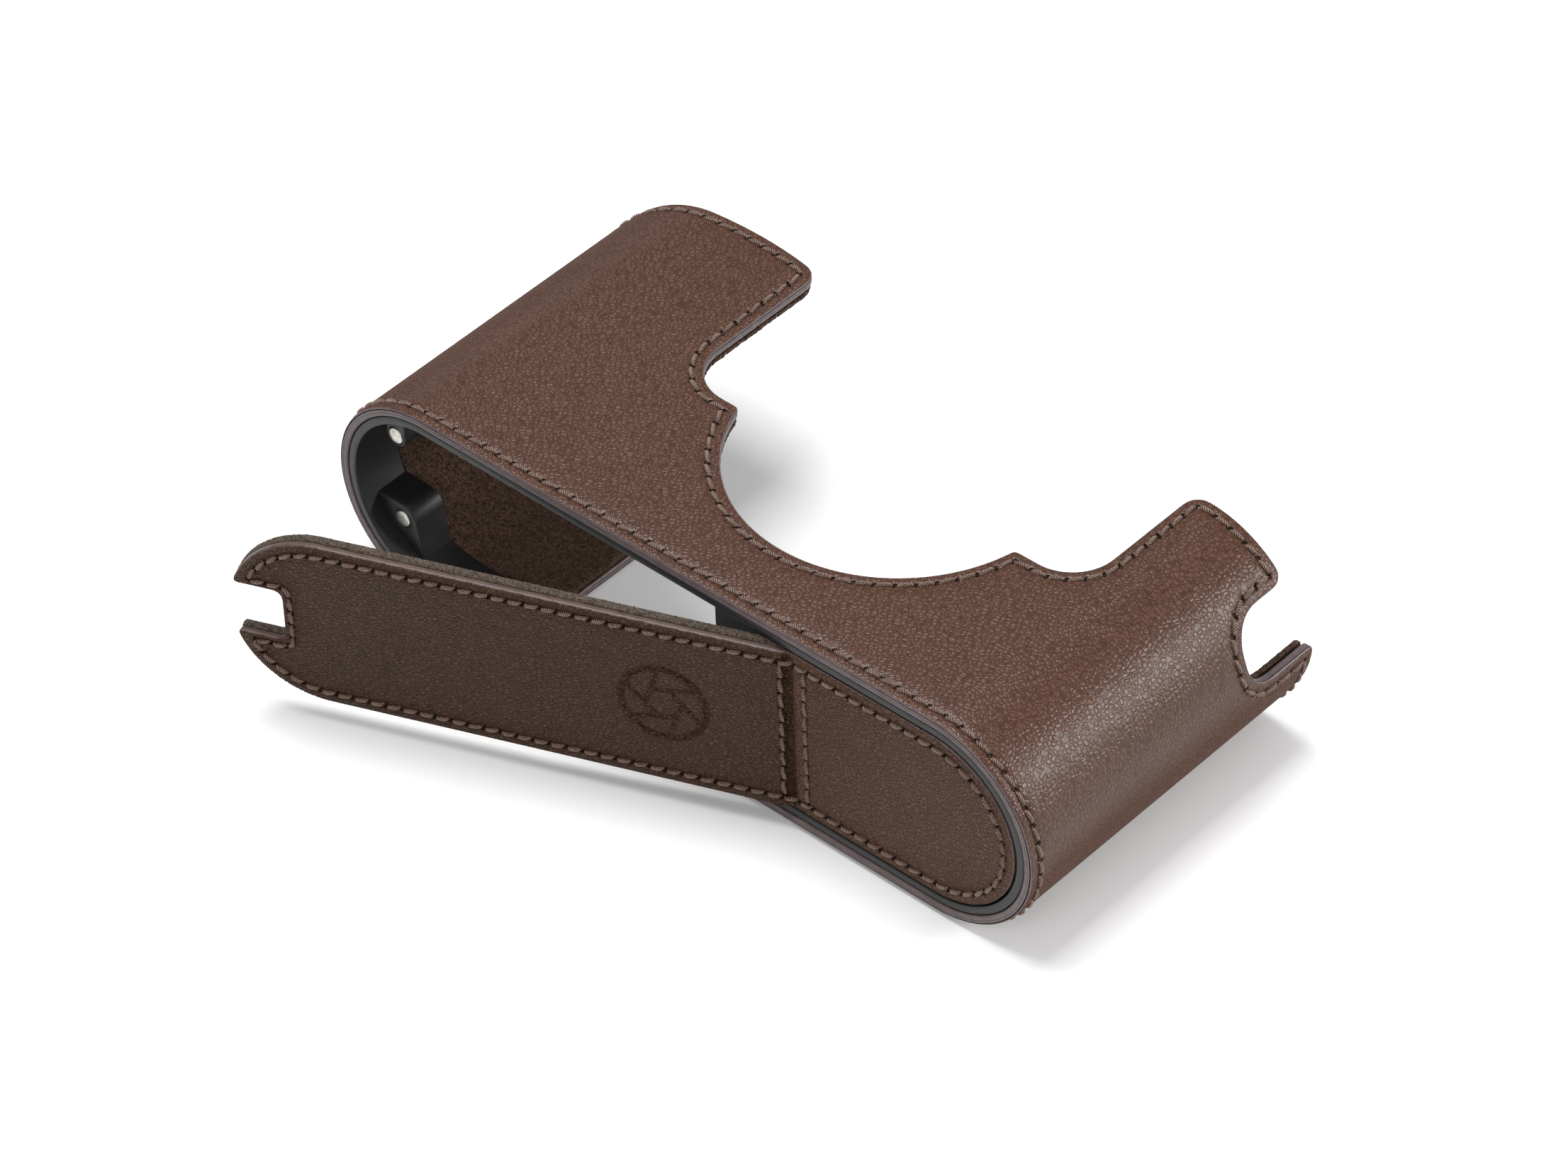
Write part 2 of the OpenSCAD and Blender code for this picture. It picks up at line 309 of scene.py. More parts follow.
def triangles(outline, points):
    """Flat triangles that fill the outline and use the points inside it."""
    count = len(outline)
    corners = [Vector(p) for p in np.vstack([outline, points])]
    edges = [(i, (i + 1) % count) for i in range(count)]
    found = delaunay_2d_cdt(corners, edges, [], 1, 1e-6)
    flat = np.array([tuple(v) for v in found[0]])
    faces = [f if turning(flat, f) > 0 else f[::-1] for f in found[2]]
    return flat, faces


def turning(flat, face):
    """Positive where the face runs anticlockwise."""
    a, b, c = (flat[i] for i in face[:3])
    return (b[0] - a[0]) * (c[1] - a[1]) - (b[1] - a[1]) * (c[0] - a[0])


def bands(levels, count, closed=True):
    """Four-sided faces between rings of points; each ring has count points."""
    last = count if closed else count - 1
    faces = []
    for level in range(levels):
        for i in range(last):
            a, b = level * count + i, level * count + (i + 1) % count
            faces.append((a, b, b + count, a + count))
    return faces


def rounding(away, radius):
    """Depth of a rounded edge at a distance from it."""
    reach = np.clip(radius - away, 0, radius)
    return radius - np.sqrt(radius ** 2 - reach ** 2)


class Builder:
    """Collects the points and faces of one piece."""

    def __init__(self, place):
        self.place = place
        self.vertices = []
        self.faces = []
        self.materials = []

    def add(self, flat, depth, faces, material):
        """Adds points by their place in the flat and their depth, with faces between them."""
        start = sum(len(v) for v in self.vertices)
        self.vertices.append(self.place(flat, depth))
        self.faces += [tuple(start + i for i in f) for f in faces]
        self.materials += [material] * len(faces)

    def skirt(self, line, top_depth, rings, closed, material, flip=False):
        """A rim down from the line; rings are pairs of inset and depth."""
        right = normals(line, closed)
        count = len(line)
        flats = [line] + [line + right * inset for inset, _ in rings]
        depths = [np.broadcast_to(top_depth, count)] + [np.full(count, depth) for _, depth in rings]
        faces = bands(len(rings), count, closed)
        if flip:
            faces = [f[::-1] for f in faces]
        self.add(np.vstack(flats), np.concatenate(depths), faces, material)

    def finish(self, name, materials):
        """The finished object, its doubled points merged."""
        return mesh_object(name, np.vstack(self.vertices), self.faces, materials, self.materials, weld=True)


def thread_mesh(name, seams, place, material):
    """Stitches of three twisted plies, dipping into their holes at both ends."""
    rings, sides, plies, turns = 19, 5, 3, 2.3
    ply_r, orbit, flatness = 0.18, 0.22, 0.85
    gap = 0.05
    t = np.linspace(0, 1, rings)
    ends = np.abs(2 * t - 1)
    vertices, faces = [], []
    for seam in seams:
        for run, (start, end) in seam.stitches:
            length = end - start
            direction = at(run, [end])[0] - at(run, [start])[0]
            direction = direction / np.linalg.norm(direction)
            side = np.array([-direction[1], direction[0]])
            slant = math.tan(math.radians(STITCH_SLANT + rng.normal(0, 2)))
            middle = at(run, start + (gap + (1 - 2 * gap) * t) * length)
            middle = middle + ((t - 0.5) * length * slant)[:, None] * side
            lift = 0.03 + rng.normal(0, 0.015) - 0.75 * ends ** 6
            scale = 1.06 - 0.5 * ends ** 2.2
            phase = rng.uniform(0, 2 * math.pi)
            for ply in range(plies):
                angle = phase + 2 * math.pi * (ply / plies + turns * t)
                base = len(vertices) * rings * sides
                rows = []
                for k in range(sides):
                    around = angle + 2 * math.pi * k / sides
                    across = orbit * np.cos(angle) + ply_r * np.cos(around)
                    up = flatness * orbit * np.sin(angle) + ply_r * np.sin(around)
                    flat = middle + (across * scale)[:, None] * side
                    rows.append(place(flat, -(lift + up * scale)))
                vertices.append(np.vstack(rows))
                for k in range(sides):
                    n = (k + 1) % sides
                    for i in range(rings - 1):
                        faces.append((base + k * rings + i, base + k * rings + i + 1,
                                      base + n * rings + i + 1, base + n * rings + i))
    return mesh_object(name, np.vstack(vertices), faces, [material])


def hole_shade_mesh(name, seams, place, depth_at, material):
    """Dark slits of painted shade where the thread goes into the leather, laid just above it."""
    sides, above_leather = 12, 0.05
    turn = np.linspace(0, 2 * math.pi, sides, endpoint=False)
    flats, faces = [], []
    for seam in seams:
        for centre, direction in zip(seam.holes, seam.directions):
            slit = turned(direction[None], HOLE_SLANT + rng.normal(0, 5))[0]
            cross = np.array([-slit[1], slit[0]])
            base = len(flats) * (2 * sides + 1)
            long, wide = 0.64 + rng.normal(0, 0.04), 0.34
            rim = [centre + long * s * math.cos(a) * slit + wide * s * math.sin(a) * cross
                   for s in (1, 0.5) for a in turn]
            flats.append(np.vstack([rim, [centre]]))
            for k in range(sides):
                n = (k + 1) % sides
                faces.append((base + k, base + n, base + sides + n, base + sides + k))
                faces.append((base + sides + k, base + sides + n, base + 2 * sides))
    flat = np.vstack(flats)
    return mesh_object(name, place(flat, depth_at(flat) - above_leather), faces, [material])


# ---- the case's surface, unrolled
def wrap(flat, depth):
    """Points of the case's wall: u runs round it from the front's middle, y is the height."""
    u, y = flat[:, 0], flat[:, 1]
    past = np.abs(u) - END_X
    turn = np.clip(past / END_R, 0, math.pi)
    straight = np.where(past < 0, np.abs(u), END_X - np.maximum(past - math.pi * END_R, 0))
    x = np.sign(u) * (straight + (END_R - depth) * np.sin(turn))
    z = MID_Z + (END_R - depth) * np.cos(turn)
    return np.column_stack([x, y, z])


def lug_notch(angle):
    """Outline of a lug notch in the unrolled wall's right half, from front to back."""
    across = LUG_W / 2 - LUG_R
    line = np.vstack([
        arc((-across, LUG_Y + LUG_R), LUG_R, 180, 270),
        arc((across, LUG_Y + LUG_R), LUG_R, 270, 360),
    ])
    line[:, 0] = END_X + END_R * (math.radians(angle) + np.arcsin(line[:, 0] / END_R))
    return line


def wing_top(notch, edge):
    """Top of a back wing between the lug notch and its inner edge."""
    tip = notch[-1, 0]
    return np.vstack([
        arc((tip + TIP_CORNER, BACK_HEIGHT - TIP_CORNER), TIP_CORNER, 180, 90, 0.2),
        arc((edge - BACK_WING_CORNER, BACK_HEIGHT - BACK_WING_CORNER), BACK_WING_CORNER, 90, 0),
    ])


def display_corner(edge):
    """Lower corner of the display cut-out and the strip under it."""
    return np.vstack([
        arc((edge + DISPLAY_CORNER, DISPLAY_Y + DISPLAY_CORNER), DISPLAY_CORNER, 180, 270),
        [[HALF_ROUND, DISPLAY_Y]],
    ])


def right_back():
    """Top edge of the back from the right lug notch to the back's middle."""
    edge = HALF_ROUND - DISPLAY_X1
    return np.vstack([wing_top(lug_notch(RIGHT_LUG_ANGLE), edge), display_corner(edge)])


def left_back():
    """Top edge of the back from the left lug notch to the back's middle, drawn in the right half."""
    thumb, edge = HALF_ROUND + THUMB_X, HALF_ROUND + DISPLAY_X0
    return np.vstack([
        wing_top(lug_notch(LEFT_LUG_ANGLE), thumb),
        arc((thumb + THUMB_R, THUMB_Y + THUMB_R), THUMB_R, 180, 270),
        arc((edge - SHOULDER_R, THUMB_Y - SHOULDER_R), SHOULDER_R, 90, 0),
        display_corner(edge),
    ])


def mirrored(line):
    """The line in the wall's other half, run the other way."""
    return (line * [-1, 1])[::-1]


def front_edge():
    """Top edge of the front, from the left lug notch to the right one."""
    left_x, right_x = -lug_notch(LEFT_LUG_ANGLE)[0, 0], lug_notch(RIGHT_LUG_ANGLE)[0, 0]
    crown_y = shell_high[1] - CROWN_R
    crown_x = np.linspace(left_x + WING_CORNER, 0, 200)
    crown_x = crown_x[crown_x < WIDE_WING_X - WIDE_WING_CORNER]
    on_front = np.where(crown_x > -END_X, crown_x,
                        -END_X - END_R * np.sin(np.minimum((-crown_x - END_X) / END_R, math.pi / 2)))
    crown = np.column_stack([crown_x, crown_y + np.sqrt(CROWN_R ** 2 - (on_front - CROWN_X) ** 2)])
    left = math.degrees(math.asin((WING_NOTCH_Y - LENS[1]) / LENS_R))
    right = math.degrees(math.asin((DIP_Y - LENS[1]) / LENS_R))
    return np.vstack([
        arc((left_x + WING_CORNER, crown[0, 1] - WING_CORNER), WING_CORNER, 180, 95, 0.3),
        crown,
        arc((WIDE_WING_X - WIDE_WING_CORNER, crown[-1, 1] - WIDE_WING_CORNER - 0.05),
            WIDE_WING_CORNER, 80, 0, 0.3),
        arc((WIDE_WING_X + WING_NOTCH_R, WING_NOTCH_Y + WING_NOTCH_R), WING_NOTCH_R, 180, 270),
        arc(LENS, LENS_R, 180 - left, 360 + right),
        arc((SMALL_WING_X - DIP_R, DIP_Y + DIP_R), DIP_R, 270, 360),
        arc((SMALL_WING_X + SMALL_WING_CORNER, SMALL_WING_HEIGHT - SMALL_WING_CORNER),
            SMALL_WING_CORNER, 180, 90, 0.3),
        arc((right_x - WING_CORNER, SMALL_WING_HEIGHT - WING_CORNER), WING_CORNER, 90, 0, 0.3),
    ])


def top_line(step):
    """The whole top edge, from the back's middle round the left end, the front and back again."""
    line = np.vstack([
        mirrored(left_back()),
        mirrored(lug_notch(LEFT_LUG_ANGLE)),
        front_edge(),
        lug_notch(RIGHT_LUG_ANGLE),
        right_back(),
    ])
    line = soften(resample(line, 0.2), 16)
    return resample(line, step)


def bottom_line(step, height=0.0):
    """The bottom edge, run the other way, so that the leather lies to its right."""
    line = np.array([[HALF_ROUND, height], [-HALF_ROUND, height]])
    return resample(line, step)


def wall_outline(top, bottom, levels):
    """Closed outline of the unrolled wall; both cut ends have points at the same levels."""
    left = np.column_stack([np.full(len(levels), -HALF_ROUND), levels])
    right = left[::-1] * [-1, 1]
    return np.vstack([top, right, bottom, left])


def shell_leather(leather, paint):
    """The stitched outer leather with its rounded, painted edges."""
    step = 0.4
    top, bottom = top_line(step), bottom_line(step)
    edges = np.vstack([top_line(0.1), bottom_line(0.1)])
    top_seam = Seam(inset_line(top_line(0.2), SEAM_INSET), SHELL_PITCH)
    bottom_seam = Seam(inset_line(bottom_line(0.2), SEAM_INSET), SHELL_PITCH)
    seams = [top_seam, bottom_seam]

    levels = np.array([*EDGE_LOOPS, *SEAM_LOOPS, LAST_LOOP])
    levels = np.concatenate([levels, [DISPLAY_Y / 2], DISPLAY_Y - levels[::-1]])
    outline = wall_outline(top, bottom, levels)
    loops = []
    for line in (top, bottom):
        for distance in (*EDGE_LOOPS, LAST_LOOP):
            loops.append(inset_line(line, distance)[1:-1])
        for distance in SEAM_LOOPS:
            loops.append(resample(inset_line(line, distance), 0.33)[1:-1])
    flat_wall, round_wall = (3, 2.6), (1.3, 2.2)
    stretches = [
        (-HALF_ROUND + 2, -BACK_START, flat_wall),
        (-BACK_START + 1, -END_X - 0.5, round_wall),
        (-END_X + 1, END_X - 1, flat_wall),
        (END_X + 0.5, BACK_START - 1, round_wall),
        (BACK_START, HALF_ROUND - 2, flat_wall),
    ]
    field = np.vstack([grid((start, 2), (end, shell_high[1]), *steps) for start, end, steps in stretches])
    field = field[inside(field, outline)]
    away, _ = nearest(field, edges)
    points = np.vstack(loops + [field[away > LAST_LOOP + 1]])
    points = points[np.abs(points[:, 0]) < HALF_ROUND - 0.1]

    def depth_at(flat):
        away, _ = nearest(flat, edges)
        pressed = sum(seam.press(flat) for seam in seams)
        slope = 0.15 * np.clip(1 - away / SEAM_INSET, 0, 1)
        return rounding(away, 0.4) + slope + pressed

    flat, faces = triangles(outline, points)
    builder = Builder(wrap)
    away, _ = nearest(flat, edges)
    rim = away < 0.2
    builder.add(flat, depth_at(flat), faces, 0)
    builder.materials = [int(sum(rim[i] for i in f) >= 2) for f in faces]
    rings = [(0, 0.75), (0.02, 0.9), (0.13, 0.97), (0.02, 1.05), (0, 1.3), (0.05, 1.6), (0.25, LEATHER_T)]
    for line in (top, bottom):
        builder.skirt(line, 0.55, rings, False, 1)
    inner_top, inner_bottom = (line + normals(line) * rings[-1][0] for line in (top, bottom))
    inner_levels = levels[(levels > 0.3) & (levels < DISPLAY_Y - 0.3)]
    inner = wall_outline(inner_top, inner_bottom, inner_levels)
    flat, faces = triangles(inner, field[::2])
    builder.add(flat, LEATHER_T, [f[::-1] for f in faces], 0)
    piece = builder.finish("shell_leather_skin", [leather, paint])
    return piece, seams, depth_at


def shell_lining(suede):
    """Suede band inside the walls above the chassis ring, with a ragged cut edge."""
    back_depth = BOARD_DEPTH + 0.08
    top = resample(inset_line(top_line(0.2), 0.3), 0.3)
    top[[0, -1], 0] = [-HALF_ROUND, HALF_ROUND]
    top[1:-1] += rng.normal(0, 0.05, (len(top) - 2, 2))
    bottom = bottom_line(2, RING_H + 0.05)
    levels = np.array([0.35, 0.7]) + RING_H
    outline = wall_outline(top, bottom, levels)
    field = np.vstack([
        grid((-HALF_ROUND + 2, RING_H + 1), (HALF_ROUND - 2, shell_high[1]), 1.6, 1.8),
        *[inset_line(top, distance)[4:-4] for distance in (0.2, 0.5, 1)],
    ])
    field = field[inside(field, outline) & (field[:, 1] > RING_H + 0.4)]
    flat, faces = triangles(outline, field)
    away, _ = nearest(flat, top)
    depth = LINING_DEPTH - 0.9 * rounding(away, 0.3) + rng.normal(0, 0.02, len(flat))
    builder = Builder(wrap)
    builder.add(flat, depth, [f[::-1] for f in faces], 0)
    builder.add(flat, back_depth, faces, 0)
    rings = [(-0.05, 2.8), (-0.05, 2.55), (0, back_depth)]
    for line, start in ((top, LINING_DEPTH - 0.27), (bottom, LINING_DEPTH)):
        builder.skirt(line, start, rings, False, 0, True)
    piece = builder.finish("shell_suede_lining", [suede])
    length = 2 * HALF_ROUND - 2 * math.pi * LINING_DEPTH
    height = shell_high[1] - RING_H
    area = abs(polygon_area(outline)) * length / (2 * HALF_ROUND)
    return piece, (height * MM, length * MM), area * MM * MM


# ---- chassis
def chassis_ring(plastic):
    """Moulded ring with a rounded lip, and the two bosses that seat the magnets."""
    stops = (-HALF_ROUND, -BACK_START, -END_X, END_X, BACK_START, HALF_ROUND)
    shares = (14, 73, 28, 73, 14)
    around = np.concatenate([np.linspace(start, end, share)[:-1]
                             for start, end, share in zip(stops[:-1], stops[1:], shares)])
    lip_y, outer, inner = ring_low[1], LEATHER_T + 0.1, RING_INSET
    profile = np.array([
        (0.5, outer), (0.3, outer + 0.05), (lip_y, outer + 0.22), (lip_y, inner - 0.3),
        (0.25, inner - 0.12), (0.38, inner - 0.03), (0.6, inner), (4, inner), (RING_H - 0.5, inner),
        (RING_H - 0.25, inner - 0.04), (RING_H - 0.07, inner - 0.15), (RING_H, inner - 0.35),
        (RING_H, outer + 0.2), (RING_H - 0.3, outer),
    ])
    count = len(around)
    vertices = [wrap(np.column_stack([around, np.full(count, y)]), inset) for y, inset in profile]
    total = count * len(profile)
    faces = [(a, d % total, c % total, b) for a, b, c, d in bands(len(profile), count)]
    ring = mesh_object("ring", np.vstack(vertices), faces, [plastic])
    pieces = [ring]
    face_y = MAGNET[1] - MAGNET_HALF + 0.12
    for name, outline, side in (("boss_front", front_boss(), 1), ("boss_back", back_boss(), -1)):
        pieces.append(boss(name, outline, (MAGNET[0], MID_Z + side * MAGNET_REACH), face_y, plastic))
    return joined(pieces, "chassis_ring_moulded")


def joined(pieces, name):
    """One object made of several."""
    with bpy.context.temp_override(active_object=pieces[0], selected_editable_objects=pieces):
        bpy.ops.object.join()
    pieces[0].name = pieces[0].data.name = name
    return pieces[0]


def front_boss():
    """U-shaped boss that reaches down from the front wall to its magnet."""
    r = MAGNET_R + 0.55
    centre = (MAGNET[0], MID_Z + MAGNET_REACH)
    angles = [math.degrees(math.acos((centre[0] + s * r + END_X) / SEAT_R)) for s in (1, -1)]
    return closed_line([
        arc(centre, r, 0, -180, 0.2),
        arc((-END_X, MID_Z), SEAT_R, angles[1], angles[0], 0.3),
    ], 0.2)


def back_boss():
    """Wedge-shaped boss with a straight upper side, rounded round its magnet."""
    r = 2.9
    centre = (MAGNET[0], MID_Z - MAGNET_REACH)
    upper = math.degrees(math.asin((MID_Z - centre[1] - r) / SEAT_R))
    return closed_line([
        arc(centre, r, 90, 0, 0.2),
        arc((-END_X, MID_Z), SEAT_R, BACK_BOSS_FOOT, 180 + upper, 0.3),
    ], 0.2)


def boss(name, outline, seat, face_y, plastic):
    """Block under the outline, with a well round the magnet's seat."""
    def place(flat, depth):
        return np.column_stack([flat[:, 0], face_y + depth, flat[:, 1]])

    well_r, well_wall, well_depth, slack = MAGNET_R + 0.16, 0.12, 0.06, 0.02
    if polygon_area(outline) > 0:
        outline = outline[::-1]
    right = normals(outline, True)
    bevel = [(0.3, 0.0), (0.17, 0.04), (0.06, 0.12), (0, 0.26), (0, RING_H - face_y - 0.02)]
    rim = outline + right * bevel[0][0]
    wells = [arc(seat, r, 360, 0, 0.3)[:-1] for r in (well_r, well_r + well_wall)]
    flat, faces = triangles(rim, np.vstack(wells))
    centres = np.array([flat[list(f)].mean(0) for f in faces])
    open_well = np.linalg.norm(centres - seat, axis=1) < well_r - slack
    faces = [f for f, skip in zip(faces, open_well) if not skip]
    builder = Builder(place)
    depth = np.where(np.linalg.norm(flat - seat, axis=1) < well_r + slack, well_depth, 0.0)
    builder.add(flat, depth, faces, 0)
    flats = np.vstack([outline + right * inset for inset, _ in bevel])
    depths = np.concatenate([np.full(len(outline), d) for _, d in bevel])
    builder.add(flats, depths, bands(len(bevel) - 1, len(outline)), 0)
    builder.skirt(wells[0][::-1], well_depth, [(0, 0.8)], True, 0)
    return builder.finish(name, [plastic])


def magnet(name, side, metal):
    """Plated disc with a bevelled rim and a slightly domed face."""
    top = MAGNET[1] - MAGNET_HALF
    r = MAGNET_R
    profile = [(0, top), (0.4 * r, top), (0.82 * r, top + 0.015), (0.93 * r, top + 0.05),
               (0.985 * r, top + 0.13), (r, top + 0.25), (r, top + 1.6)]
    sides = 48
    turn = np.linspace(0, 2 * math.pi, sides, endpoint=False)
    centre = (MAGNET[0], MID_Z + side * MAGNET_REACH)
    vertices = [[(centre[0] + ring_r * math.cos(a), y, centre[1] + ring_r * math.sin(a)) for a in turn]
                for ring_r, y in profile]
    faces = bands(len(profile) - 1, sides)
    return mesh_object(name, np.vstack(vertices), faces, [metal], weld=True)


# ---- pad, fold and flap
def lie(flat, depth):
    """Points of the bottom cover at rest; flat is x and z with the flap shut, depth is inward."""
    x, z = flat[:, 0], flat[:, 1]
    t = np.clip((FOLD_FROM - x) / (FOLD_FROM - FOLD_TO), 0, 1)
    angle = math.radians(OPEN_ANGLE) * t * t * (3 - 2 * t)
    reach = x - HINGE_X
    return np.column_stack([
        HINGE_X + reach * np.cos(angle) - depth * np.sin(angle),
        reach * np.sin(angle) + depth * np.cos(angle),
        z,
    ])


def slot_end(e, slot_e):
    """Left end of the flap with its finger slot, moved in by e and slot_e, from back to front."""
    r, half = FLAP_R - e, SLOT_W / 2 + slot_e
    blunt_arc, blunt_x = 0.7, 0.35
    tip = math.degrees(math.asin(half / r))
    blunt = math.degrees(blunt_arc / r)
    tip_x = -END_X - math.sqrt(r ** 2 - half ** 2) + blunt_x
    bottom = SLOT_X + slot_e
    return np.vstack([
        arc((-END_X, MID_Z), r, 270, 180 + tip + blunt),
        [(tip_x, MID_Z - half)],
        arc((bottom - SLOT_R, MID_Z - half + SLOT_R), SLOT_R, -90, 0, 0.2),
        arc((bottom - SLOT_R, MID_Z + half - SLOT_R), SLOT_R, 0, 90, 0.2),
        [(tip_x, MID_Z + half)],
        arc((-END_X, MID_Z), r, 180 - tip - blunt, 90),
    ])


def cover_line(step, e=0.0, slot_e=None, passes=2):
    """Outline of pad, fold and flap as one piece."""
    slot_e = e if slot_e is None else slot_e
    return closed_line([arc((END_X, MID_Z), FLAP_R - e, 90, -90), slot_end(e, slot_e)], step, passes)


def flap_line(step, e, end_x):
    """Outline of the flap alone, with a straight side at end_x."""
    r = FLAP_R - e
    return closed_line([[(end_x, MID_Z + r), (end_x, MID_Z - r)], slot_end(e, e)], step)


def emboss(flat):
    """Depth of the embossed ring and the six plain iris lines inside it."""
    x, z = flat[:, 0] - EMBOSS_X, flat[:, 1] - MID_Z
    r = np.hypot(x, z)
    depth = 0.6 * np.exp(-(((r - EMBOSS_R) / 0.45) ** 2))
    for k in range(6):
        a = math.radians(60 * k + 12)
        ahead = x * math.cos(a) + z * math.sin(a)
        off = -x * math.sin(a) + z * math.cos(a) - IRIS_R * math.cos(math.pi / 6)
        on = (ahead > -IRIS_R / 2 - 0.1) & (r < EMBOSS_R)
        depth = np.maximum(depth, 0.42 * np.exp(-((off / 0.32) ** 2)) * on)
    return depth


def fold_relief(flat, away):
    """Crinkled groove on the flap's side of the fold, and a smooth ridge on the pad's side."""
    x, z = flat[:, 0] - HINGE_X, flat[:, 1]
    middle = np.clip((away - 0.6) / 1.6, 0, 1)
    groove = 1.05 * np.exp(-(((x + 0.95) / 0.75) ** 4)) * (0.25 + 0.75 * middle)
    ridge = -0.22 * np.exp(-(((x - 0.75) / 0.6) ** 2)) * middle
    wave = x / 0.42 + 0.35 * np.sin(z / 2.1) + 0.2 * np.sin(z / 0.9 + x)
    wrinkles = 0.09 * np.sin(2 * math.pi * wave) * np.exp(-(((x + 0.8) / 0.9) ** 4))
    puckers = 0.08 * np.sin(2 * math.pi * x / 0.62) * np.exp(-((x / 2) ** 4)) * np.exp(-((away / 1.5) ** 2))
    return groove + ridge + wrinkles * middle + puckers


def cover_leather(flap, paint, pad):
    """One stitched piece of leather over the pad, the fold and the flap; the pad's faces take a copy of the
    leather painted lighter than the flap's, as painted light.
    """
    outline = cover_line(0.35)
    edge = cover_line(0.1, passes=20)
    low, high = MID_Z - FLAP_R + SEAM_INSET, MID_Z + FLAP_R - SEAM_INSET
    seams = [Seam(cover_line(0.2, SEAM_INSET, SLOT_SEAM_INSET, 0), FLAP_PITCH, True)]
    for x in CROSS_X:
        seams.append(Seam(resample(np.array([[x, low + 0.5], [x, high - 0.5]]), 0.2), FLAP_PITCH + 0.15))

    loops = [resample(cover_line(0.2, e), 0.4, True) for e in (0.1, 0.22, 0.36, 0.7, 1.0)]
    for shift in (-0.5, -0.25, 0, 0.25, 0.5):
        loops.append(cover_line(0.33, SEAM_INSET + shift, SLOT_SEAM_INSET + shift, 0))
    fine = grid((HINGE_X - 3, low - 2), (HINGE_X + 3, high + 2), 0.14, 0.7)
    seal_r = EMBOSS_R + 1
    seal = grid((EMBOSS_X - seal_r, MID_Z - seal_r), (EMBOSS_X + seal_r, MID_Z + seal_r), 0.24, 0.24)
    seal = seal[np.hypot(seal[:, 0] - EMBOSS_X, seal[:, 1] - MID_Z) < seal_r]
    coarse = grid((-END_X - FLAP_R, low), (END_X + FLAP_R, high), 1.6, 1.6)
    near_fold = np.abs(coarse[:, 0] - HINGE_X) < 3.4
    near_seal = np.hypot(coarse[:, 0] - EMBOSS_X, coarse[:, 1] - MID_Z) < seal_r + 0.3
    coarse = coarse[~near_fold & ~near_seal]
    coarse = coarse[inside(coarse, outline)]
    away, _ = nearest(coarse, edge)
    coarse = coarse[away > 2.9]
    away, _ = nearest(fine, edge)
    fine = fine[inside(fine, outline) & (away > 0.2)]
    points = np.vstack(loops + [fine, seal, coarse])

    def depth_at(flat):
        away, _ = nearest(flat, edge)
        pressed = sum(seam.press(flat, 0.22, 0.4) for seam in seams)
        return rounding(away, 0.4) + pressed + emboss(flat) + fold_relief(flat, away)

    flat, faces = triangles(outline, points)
    builder = Builder(lie)
    builder.add(flat, depth_at(flat), faces, 0)
    away, _ = nearest(flat, edge)
    rim = away < 0.12
    # The pad's faces take the third material, the same leather painted lighter as painted light.
    on_pad_painted_lighter = flat[:, 0] > HINGE_X - 0.15
    builder.materials = [1 if sum(rim[i] for i in f) >= 2 else 2 * int(on_pad_painted_lighter[f[0]]) for f in faces]
    rings = [(0, 0.5), (0, 0.85), (0.03, 1.1), (0.2, FLAP_LEATHER_T)]
    builder.skirt(outline, depth_at(outline), rings, True, 1)
    inner = outline + normals(outline, True) * rings[-1][0]
    near_fold = np.abs(fine[:, 0] - HINGE_X) < 2
    flat, faces = triangles(inner, np.vstack([coarse, fine[near_fold][::3]]))
    builder.add(flat, FLAP_LEATHER_T, [f[::-1] for f in faces], 0)
    piece = builder.finish("cover_leather_skin", [flap, paint, pad])
    return piece, seams, depth_at


def flap_suede(suede):
    """Soft suede pad on the inside of the flap, crowned, with a napped edge that hides the board's."""
    end_x = HINGE_X - 1.4
    outline = flap_line(0.22, 0.05, end_x)
    outline = outline + rng.normal(0, 0.03, outline.shape)
    loops = [flap_line(0.3, e, end_x) for e in (0.2, 0.45, 0.75, 1.2)]
    field = grid((-END_X - FLAP_R, MID_Z - FLAP_R), (end_x, MID_Z + FLAP_R), 1.1, 1.1)
    edge = flap_line(0.1, 0.05, end_x)
    away, _ = nearest(field, edge)
    field = field[inside(field, edge) & (away > 1.6)]
    flat, faces = triangles(outline, np.vstack(loops + [field]))
    away, _ = nearest(flat, edge)
    crown = 0.1 * (1 - np.exp(-away / 3))
    top = SUEDE_Y0 + SUEDE_T - rounding(away, 0.55) + crown + rng.normal(0, 0.018, len(flat))
    builder = Builder(lie)
    builder.add(flat, top, [f[::-1] for f in faces], 0)
    builder.add(flat, SUEDE_Y0, faces, 0)
    right, count = normals(outline, True), len(outline)
    profile = [(-0.12, 2.7), (-0.16, 2.3), (-0.14, 1.9), (-0.06, 1.55), (0.15, 1.38), (0.4, 1.36),
               (0.3, SUEDE_Y0), (0, SUEDE_Y0)]
    flats, levels = [outline], [top[:count]]
    for inset, depth in profile:
        napped = inset < 0.1
        ragged = inset + rng.normal(0, 0.04, count) * napped
        flats.append(outline + right * ragged[:, None])
        levels.append(depth + rng.normal(0, 0.03, count) * napped)
    flats[-1] = outline
    levels[-1] = np.full(count, SUEDE_Y0)
    sides = [(a, d, c, b) for a, b, c, d in bands(len(profile), count)]
    builder.add(np.vstack(flats), np.concatenate(levels), sides, 0)
    return builder.finish("flap_suede_pad", [suede])


# ---- materials
def linear(colour):
    """Linear colour from a hex string as seen on a screen."""
    parts = [int(colour[i:i + 2], 16) / 255 for i in (1, 3, 5)]
    return (*[p / 12.92 if p <= 0.04045 else ((p + 0.055) / 1.055) ** 2.4 for p in parts], 1)


